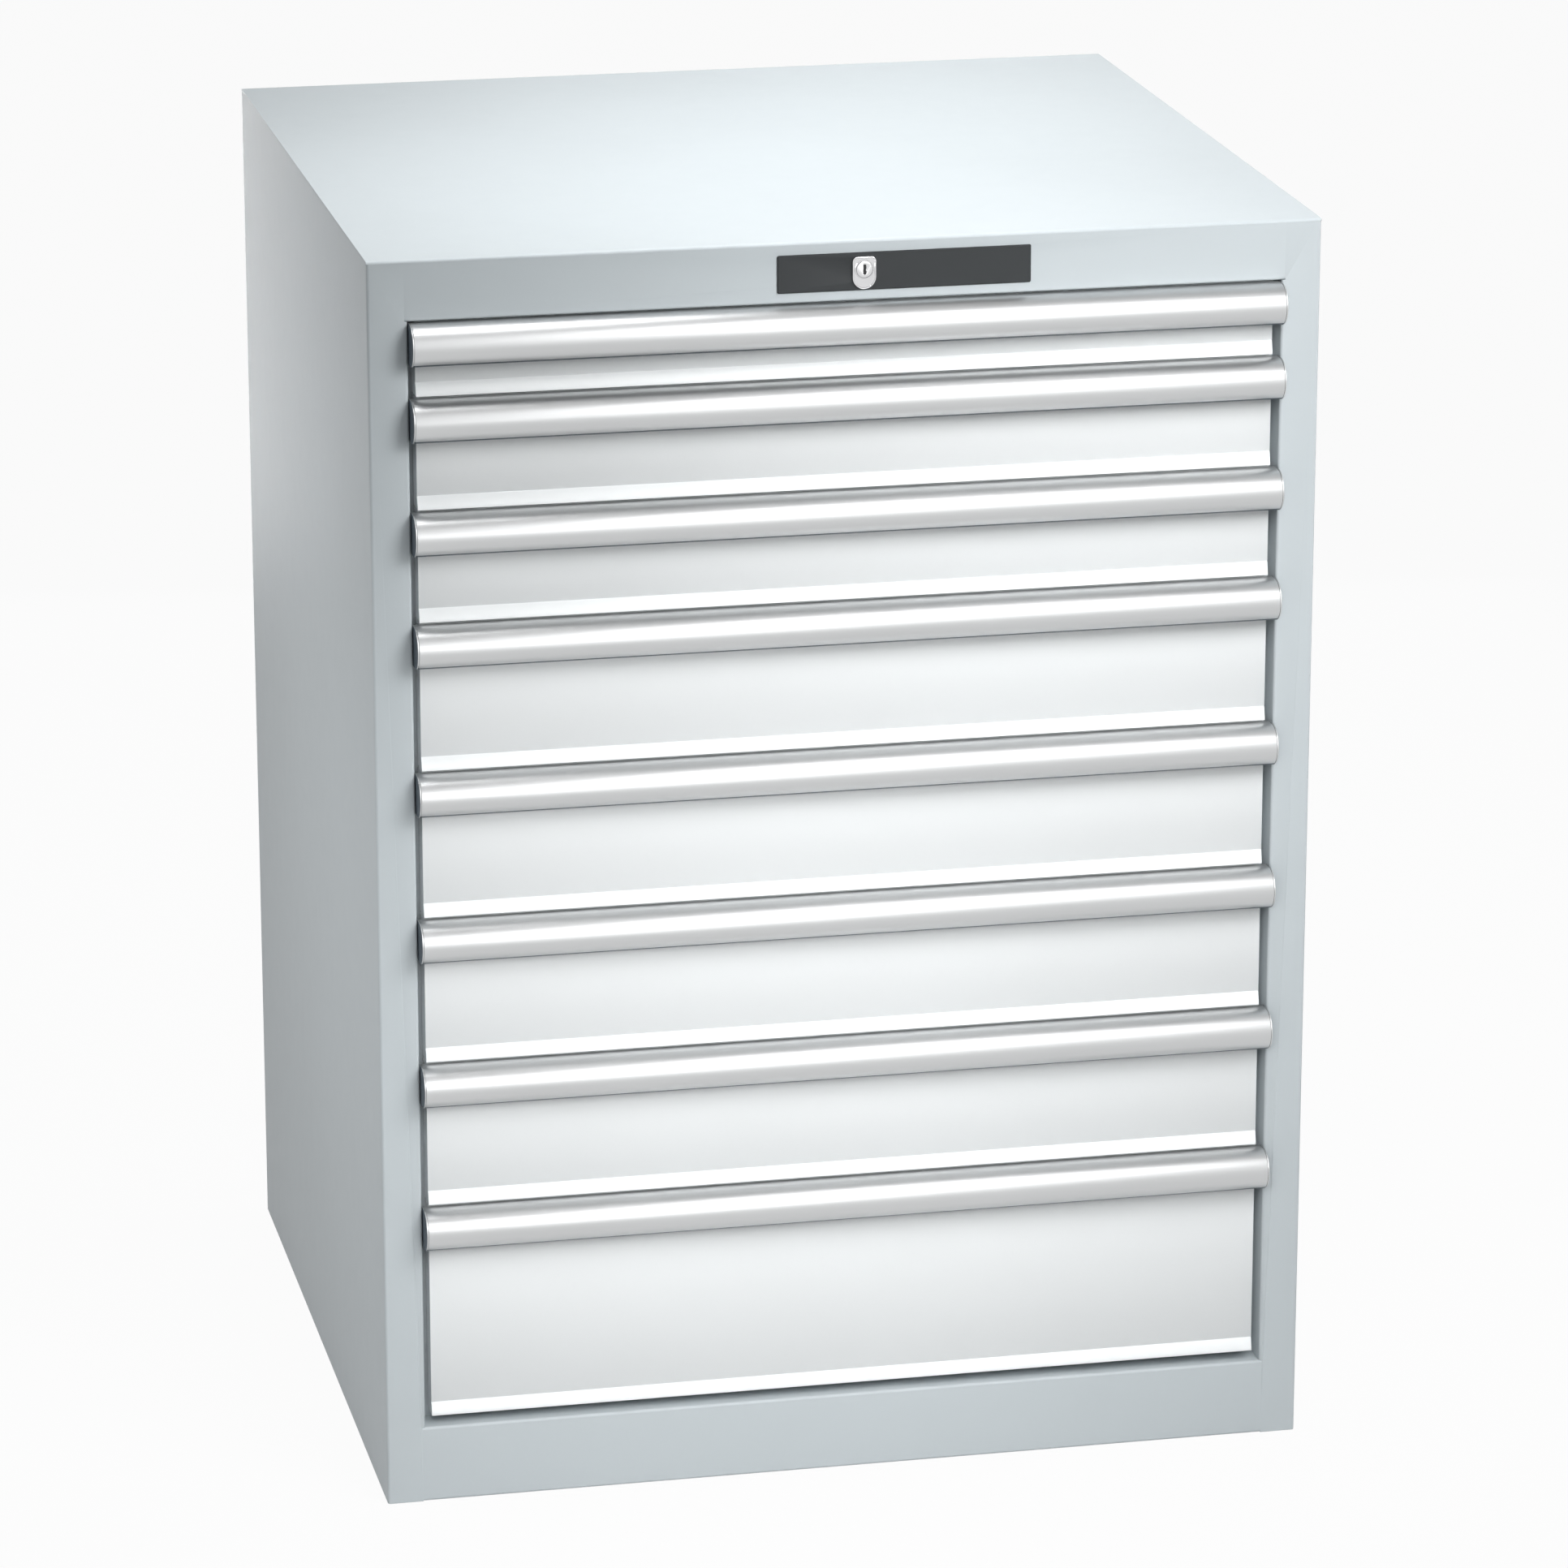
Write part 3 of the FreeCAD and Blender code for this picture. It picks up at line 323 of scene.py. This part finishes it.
def add_piece(name, bm, mats, body, crease=SMOOTH_ANGLE):
    """Makes a piece from a mesh in the making, smooth except where it turns by more than crease."""
    mesh = bpy.data.meshes.new(name)
    bm.to_mesh(mesh)
    bm.free()
    obj = bpy.data.objects.new(name, mesh)
    bpy.context.scene.collection.objects.link(obj)
    for mat in mats:
        mesh.materials.append(mat)
    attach(obj, body)
    mesh.shade_smooth()
    mesh.set_sharp_from_angle(angle=math.radians(crease))
    return obj


def round_edges(bm, edges, width, segments=2):
    bmesh.ops.bevel(
        bm,
        geom=edges,
        offset=width,
        offset_type="OFFSET",
        segments=segments,
        profile=BEVEL_PROFILE,
        affect="EDGES",
        clamp_overlap=True,
    )


def on_seam(edge):
    """True for the edges of a welded seam: rail to stile, and wall to top sheet."""
    for vert in edge.verts:
        at_rail_end = abs(abs(vert.co.x) - SEAM_X) < ON_PLANE
        beside_rail = at_rail_end and vert.co.y < FRONT_SHEET_REAR
        under_top = abs(vert.co.z - SEAM_Z) < ON_PLANE
        if not (beside_rail or under_top):
            return False
    return True


def softened(node, body, mat, width, segments=2, crease=SMOOTH_ANGLE, groove=None):
    """The node's own shape with its sharp edges rounded, in place of the node."""
    bm = bmesh.new()
    bm.from_mesh(NODES[node].data)
    bmesh.ops.remove_doubles(bm, verts=bm.verts, dist=MERGE_DISTANCE)
    bmesh.ops.dissolve_limit(
        bm, angle_limit=math.radians(FLAT_ANGLE), verts=bm.verts, edges=bm.edges
    )
    bm.edges.ensure_lookup_table()
    sharp = [
        edge
        for edge in bm.edges
        if len(edge.link_faces) == 2
        and edge.calc_face_angle(0.0) > math.radians(SHARP_ANGLE)
        and not on_seam(edge)
    ]
    round_edges(bm, sharp, width, segments)
    if groove:
        groove(bm)
    obj = add_piece(f"{node}_soft", bm, [mat], body, crease)
    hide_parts(node)


def bead_groove(bm):
    """Presses a fine line into a drawer front along the upper edge of its bead."""
    outer = min(vert.co.y for vert in bm.verts)
    bottom = min(vert.co.z for vert in bm.verts)
    line = bottom + BEAD_HEIGHT
    for height in (line - GROOVE_HALF, line + GROOVE_HALF):
        geometry = bm.verts[:] + bm.edges[:] + bm.faces[:]
        bmesh.ops.bisect_plane(bm, geom=geometry, plane_co=(0, 0, height), plane_no=(0, 0, 1))
    for vert in bm.verts:
        on_line = abs(vert.co.z - line) < ON_PLANE
        if on_line and vert.co.y < outer + BEAD_PROUD + GROOVE_MARGIN:
            vert.co.y += GROOVE_DEPTH


def end_face(face):
    """True for the faces that look along X."""
    return abs(face.normal.x) > END_FACE_TURN


def prism(name, profile, low, high, mats, body, bevel=0.0, along="X", second=end_face):
    """A profile swept along an axis: (y, z) points along X, or (x, z) points along Y.

    The faces that second picks get the second material, where there is one.
    """
    bm = bmesh.new()
    if along == "X":
        near = [bm.verts.new((low, y, z)) for y, z in profile]
        far = [bm.verts.new((high, y, z)) for y, z in profile]
    else:
        near = [bm.verts.new((x, low, z)) for x, z in profile]
        far = [bm.verts.new((x, high, z)) for x, z in profile]
    join_rings(bm, near, far)
    bm.faces.new(near[::-1])
    bm.faces.new(far)
    bmesh.ops.recalc_face_normals(bm, faces=bm.faces)
    if bevel:
        limit = math.radians(SMOOTH_ANGLE)
        sharp = [edge for edge in bm.edges if edge.calc_face_angle(0.0) > limit]
        round_edges(bm, sharp, bevel)
    if len(mats) > 1:
        for face in bm.faces:
            face.material_index = 1 if second(face) else 0
    return add_piece(name, bm, mats, body)


def join_rings(bm, first, second):
    """Closes the band between two rings of equally many points."""
    count = len(first)
    for index in range(count):
        after = (index + 1) % count
        bm.faces.new((first[index], first[after], second[after], second[index]))


def collar(name, outline, centre, bore, layers, mats, body):
    """A plate with a round bore, from an outline of (x, z) points round the bore's centre.

    A layer is (side, distance, y): distance inwards from the outline, or outwards from the bore.
    """
    bm = bmesh.new()
    rings = []
    for side, distance, y in layers:
        ring = []
        for x, z in outline:
            reach = math.hypot(x - centre[0], z - centre[1])
            radius = reach - distance if side == "outline" else bore + distance
            share = radius / reach
            place = (centre[0] + (x - centre[0]) * share, y, centre[1] + (z - centre[1]) * share)
            ring.append(bm.verts.new(place))
        rings.append(ring)
    for first, second in zip(rings, rings[1:] + rings[:1]):
        join_rings(bm, first, second)
    bmesh.ops.recalc_face_normals(bm, faces=bm.faces)
    return add_piece(name, bm, mats, body, COLLAR_CREASE)


def arc(centre, radius, start, end, steps):
    """Points of an arc, from start to end."""
    points = []
    for step in range(steps + 1):
        turn = math.radians(start + (end - start) * step / steps)
        points.append((centre[0] + radius * math.cos(turn), centre[1] + radius * math.sin(turn)))
    return points


# Housing and lock


def shield_outline(low, high):
    """The shield's edge: a round nose below, straight sides and small round shoulders above."""
    half = (high.x - low.x) / 2
    middle = (high.x + low.x) / 2
    nose_z = low.z + half
    shoulder_z = high.z - SHOULDER
    side_height = high.z - SHOULDER - nose_z
    top_width = 2 * half - 2 * SHOULDER
    outline = arc((middle, nose_z), half, 180, 360, NOSE_STEPS)
    for step in range(1, SIDE_STEPS):
        outline.append((high.x, nose_z + side_height * step / SIDE_STEPS))
    outline += arc((high.x - SHOULDER, shoulder_z), SHOULDER, 0, 90, SHOULDER_STEPS)
    for step in range(1, SIDE_STEPS):
        outline.append((high.x - SHOULDER - top_width * step / SIDE_STEPS, high.z))
    outline += arc((low.x + SHOULDER, shoulder_z), SHOULDER, 90, 180, SHOULDER_STEPS)
    for step in range(1, SIDE_STEPS):
        outline.append((low.x, high.z - SHOULDER - side_height * step / SIDE_STEPS))
    return outline


def case_outline(centre):
    """The square of the lock's case, with points along its sides."""
    x, z = centre
    square = [
        (x - CASE_HALF, z - CASE_HALF),
        (x + CASE_HALF, z - CASE_HALF),
        (x + CASE_HALF, z + CASE_HALF),
        (x - CASE_HALF, z + CASE_HALF),
    ]
    outline = []
    for (x1, z1), (x2, z2) in zip(square, square[1:] + square[:1]):
        for step in range(CASE_STEPS):
            outline.append((x1 + (x2 - x1) * step / CASE_STEPS, z1 + (z2 - z1) * step / CASE_STEPS))
    return outline


def dress_lock():
    """Shield with a raised rim and collar, its fixed case, and the plug with its keyway, a dark
    prism of painted shade on its face.
    """
    low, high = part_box("lock_escutcheon")
    plate_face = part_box("lock_plate")[0].y
    plug_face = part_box("lock_plug")[0].y
    centre = ((high.x + low.x) / 2, high.z - SHIELD_RISE)

    section = [(side, distance, low.y + depth) for side, distance, depth in SHIELD_SECTION]
    layers = [("outline", 0.0, plate_face), *section, ("bore", 0.0, plate_face)]
    outline = shield_outline(low, high)
    shield = collar(
        "lock_shield", outline, centre, PLUG_BORE, layers, [CHROME], "housing"
    )
    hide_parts("lock_escutcheon")

    layers = [
        ("outline", 0.0, plate_face),
        ("outline", 0.0, high.y),
        ("bore", 0.0, high.y),
        ("bore", 0.0, plate_face),
    ]
    outline = case_outline(centre)
    case = collar("lock_case", outline, centre, PLUG_BORE, layers, [ZINC], "housing")
    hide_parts("lock_escutcheon")

    softened("lock_plug", "lock_plug", CHROME, PLUG_EDGE)
    keyway = [(centre[0] + across, centre[1] + rise) for across, rise in KEYWAY_POINTS]
    near = plug_face - KEYWAY_PROUD
    far = plug_face + KEYWAY_DEPTH
    # A dark prism on the plug's face, painted shade in place of the keyway's hollow.
    prism("lock_keyway_shade", keyway, near, far, [KEYWAY_SHADE], "lock_plug", along="Y")


for node in HOUSING_NODES:
    softened(node, "housing", PAINT, PANEL_EDGE)
dress("slotted_uprights", ZINC)
dress("fixed_rails", RUNNER)
dress("lock_bar", ZINC)
softened("lock_plate", "housing", PLATE, PLATE_EDGE, segments=1)
dress_lock()


# Drawers


def dress_handle(body):
    """The handle's open arc with its lip painted dark as shade, and a cap on each end."""
    low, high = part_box(f"{body}_handle")
    cap_low, cap_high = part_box(f"{body}_end_caps")
    radius = (cap_high.z - cap_low.z) / 2
    centre = (low.y + radius, high.z - radius)
    rear = high.y
    top = high.z
    flange_bottom = top - HANDLE_FLANGE
    lip_shade_height = centre[1] - radius * math.sin(math.radians(LIP_SHADE_TURN))

    outer = arc(centre, radius, ARC_TOP, HANDLE_ARC_END, HANDLE_STEPS)
    inner = arc(centre, radius - HANDLE_WALL, ARC_TOP, HANDLE_ARC_END, HANDLE_STEPS)
    profile = [(rear, flange_bottom), (rear, top)] + outer + inner[::-1]
    profile += [(rear - HANDLE_WALL, top - HANDLE_WALL), (rear - HANDLE_WALL, flange_bottom)]
    # The grip's faces low on the arc, the lip and its inner side, get the dark material as painted
    # shade.
    grip = prism(
        f"{body}_grip",
        profile,
        low.x,
        high.x,
        [ALUMINIUM, CAP_AND_LIP_SHADE],
        body,
        GRIP_EDGE,
        second=lambda face: face.calc_center_median().z < lip_shade_height,
    )
    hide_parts(f"{body}_handle")

    profile = [(rear, cap_low.z), (rear, top)]
    profile += arc(centre, radius, ARC_TOP, CAP_ARC_END, HANDLE_STEPS)
    for side, near, far in (("left", cap_low.x, low.x), ("right", high.x, cap_high.x)):
        name = f"{body}_cap_{side}"
        cap = prism(name, profile, near, far, [ALUMINIUM, CAP_AND_LIP_SHADE], body, CAP_EDGE)
        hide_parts(f"{body}_end_caps")


for number in DRAWERS:
    body = f"drawer_{number}"
    softened(
        f"{body}_front",
        body,
        FRONT_PAINT,
        FRONT_EDGE,
        crease=FRONT_CREASE,
        groove=bead_groove,
    )
    dress(f"{body}_tray", ZINC)
    dress(f"{body}_rails", RUNNER)
    dress(f"carriage_{number}", RUNNER)
    dress_handle(body)


# Stage, light and camera


def seen_by(tree, *rays):
    """The socket that is 1 for any of these kinds of ray, named as in Light Path."""
    path = tree.nodes.new("ShaderNodeLightPath")
    seen = path.outputs[rays[0]]
    for ray in rays[1:]:
        either = tree.nodes.new("ShaderNodeMath")
        either.operation = "MAXIMUM"
        tree.links.new(seen, either.inputs[0])
        tree.links.new(path.outputs[ray], either.inputs[1])
        seen = either.outputs["Value"]
    return seen


def mix_to_surface(tree, seen, hidden_shader, seen_shader, output):
    """Joins two shaders at the output: the second shows where the socket seen is 1."""
    mix = tree.nodes.new("ShaderNodeMixShader")
    tree.links.new(seen, mix.inputs[0])
    tree.links.new(hidden_shader.outputs[0], mix.inputs[1])
    tree.links.new(seen_shader.outputs[0], mix.inputs[2])
    tree.links.new(mix.outputs[0], output.inputs["Surface"])


def stage_material(name, shade, glow):
    """Pale surface that the camera and reflections see as nearly white, with a soft shadow.

    shade is its diffuse grey, and glow is the share of plain white that these rays see.
    """
    mat = bpy.data.materials.new(name)
    mat.use_nodes = True
    tree = mat.node_tree
    tree.nodes.clear()
    output = tree.nodes.new("ShaderNodeOutputMaterial")
    diffuse = tree.nodes.new("ShaderNodeBsdfDiffuse")
    diffuse.inputs["Color"].default_value = (shade, shade, shade, 1)
    white = tree.nodes.new("ShaderNodeEmission")
    white.inputs["Color"].default_value = (1, 1, 1, 1)
    white.inputs["Strength"].default_value = 1.0
    share = tree.nodes.new("ShaderNodeMath")
    share.operation = "MULTIPLY"
    share.inputs[1].default_value = glow
    tree.links.new(seen_by(tree, "Is Camera Ray", "Is Glossy Ray"), share.inputs[0])
    mix_to_surface(tree, share.outputs["Value"], diffuse, white, output)
    return mat


def add_floor():
    bpy.ops.mesh.primitive_plane_add(size=FLOOR_SIZE, location=(0, 0, 0))
    floor = bpy.context.object
    floor.name = "studio_floor"
    floor.data.materials.append(stage_material("studio_white", FLOOR_SHADE, FLOOR_GLOW))


def add_world():
    """Soft studio: a pale horizon and a greyer ceiling in reflections, and an even fill light."""
    world = bpy.data.worlds.new("studio")
    bpy.context.scene.world = world
    world.use_nodes = True
    tree = world.node_tree
    tree.nodes.clear()
    output = tree.nodes.new("ShaderNodeOutputWorld")
    fill = tree.nodes.new("ShaderNodeBackground")
    fill.inputs["Color"].default_value = (*AMBIENT_COLOUR, 1)
    fill.inputs["Strength"].default_value = AMBIENT
    room = tree.nodes.new("ShaderNodeBackground")
    room.inputs["Strength"].default_value = 1.0
    coordinates = tree.nodes.new("ShaderNodeTexCoord")
    axes = tree.nodes.new("ShaderNodeSeparateXYZ")
    ramp = tree.nodes.new("ShaderNodeValToRGB")
    levels = ((HORIZON_RISE, HORIZON), (CEILING_RISE, CEILING))
    for element, (rise, shade) in zip(ramp.color_ramp.elements, levels):
        element.position = rise
        element.color = (shade, shade, shade, 1)
    link(tree, coordinates, "Generated", axes, "Vector")
    link(tree, axes, "Z", ramp, "Fac")
    link(tree, ramp, "Color", room, "Color")
    seen = seen_by(tree, "Is Camera Ray", "Is Glossy Ray", "Is Transmission Ray")
    mix_to_surface(tree, seen, fill, room, output)


def add_lamp(name, power, place, aim, size, long_axis=(1, 0, 0), spread=180):
    """A soft rectangular lamp facing a point; its first side runs along long_axis.

    power is in watts, and spread is how wide its grid lets the light out.
    """
    data = bpy.data.lights.new(name, "AREA")
    data.shape = "RECTANGLE"
    data.size, data.size_y = size
    data.energy = power
    data.spread = math.radians(spread)
    obj = bpy.data.objects.new(name, data)
    bpy.context.scene.collection.objects.link(obj)
    back = (Vector(place) - Vector(aim)).normalized()
    across = back.cross(Vector(long_axis)).normalized()
    along = across.cross(back).normalized()
    turn = Matrix((along, across, back)).transposed()
    obj.matrix_world = Matrix.Translation(Vector(place)) @ turn.to_4x4()
    obj.visible_camera = False


def add_lamps():
    add_lamp("key_box", 7.5, (0.3, -1.9, 1.5), aim=(0.02, -0.29, 0.45), size=(2.0, 1.5))
    add_lamp(
        "high_right", 2.6, (0.42, -1.05, 1.25), aim=(0.2, -0.29, 0.62), size=(0.8, 0.55), spread=80
    )
    add_lamp(
        "low_left", 1.2, (-0.2, -1.1, 0.65), aim=(-0.07, -0.29, 0.1), size=(0.7, 0.4), spread=80
    )
    add_lamp("top_box", 1.9, (0.0, 0.35, 2.0), aim=(0.0, 0.0, 0.85), size=(1.2, 0.7))
    add_lamp(
        "top_strip",
        7.2,
        (0.0, 0.0, 1.5),
        aim=(0.0, 0.0, 0.85),
        size=(1.3, 0.12),
        long_axis=(1, 0.9, 0),
    )
    add_lamp(
        "left_box",
        1.15,
        (-0.85, -0.15, 0.45),
        aim=(-0.315, -0.1, 0.45),
        size=(0.6, 0.2),
        long_axis=(0, 1, 0),
    )
    add_lamp(
        "right_box",
        4.0,
        (1.8, -0.1, 0.95),
        aim=(0.315, 0.0, 0.45),
        size=(1.6, 1.5),
        long_axis=(0, 1, 0),
    )
    add_lamp(
        "back_box", 11.0, (0.3, 2.0, 0.42), aim=(0.0, 0.29, 0.42), size=(1.8, 0.8), spread=90
    )


def add_camera():
    data = bpy.data.cameras.new("camera")
    data.sensor_width = SENSOR_WIDTH
    data.lens = SENSOR_WIDTH * LENS_PIXELS / FRAME_PIXELS
    camera = bpy.data.objects.new("camera", data)
    bpy.context.scene.collection.objects.link(camera)
    yaw = math.radians(YAW)
    pitch = math.radians(PITCH)
    forward = Vector(
        (math.sin(yaw) * math.cos(pitch), math.cos(yaw) * math.cos(pitch), -math.sin(pitch))
    )
    camera.location = CAMERA_PLACE
    camera.rotation_mode = "QUATERNION"
    camera.rotation_quaternion = forward.to_track_quat("-Z", "Y")
    bpy.context.scene.camera = camera


add_floor()
add_world()
add_lamps()
add_camera()
bpy.context.scene.view_settings.view_transform = "Standard"
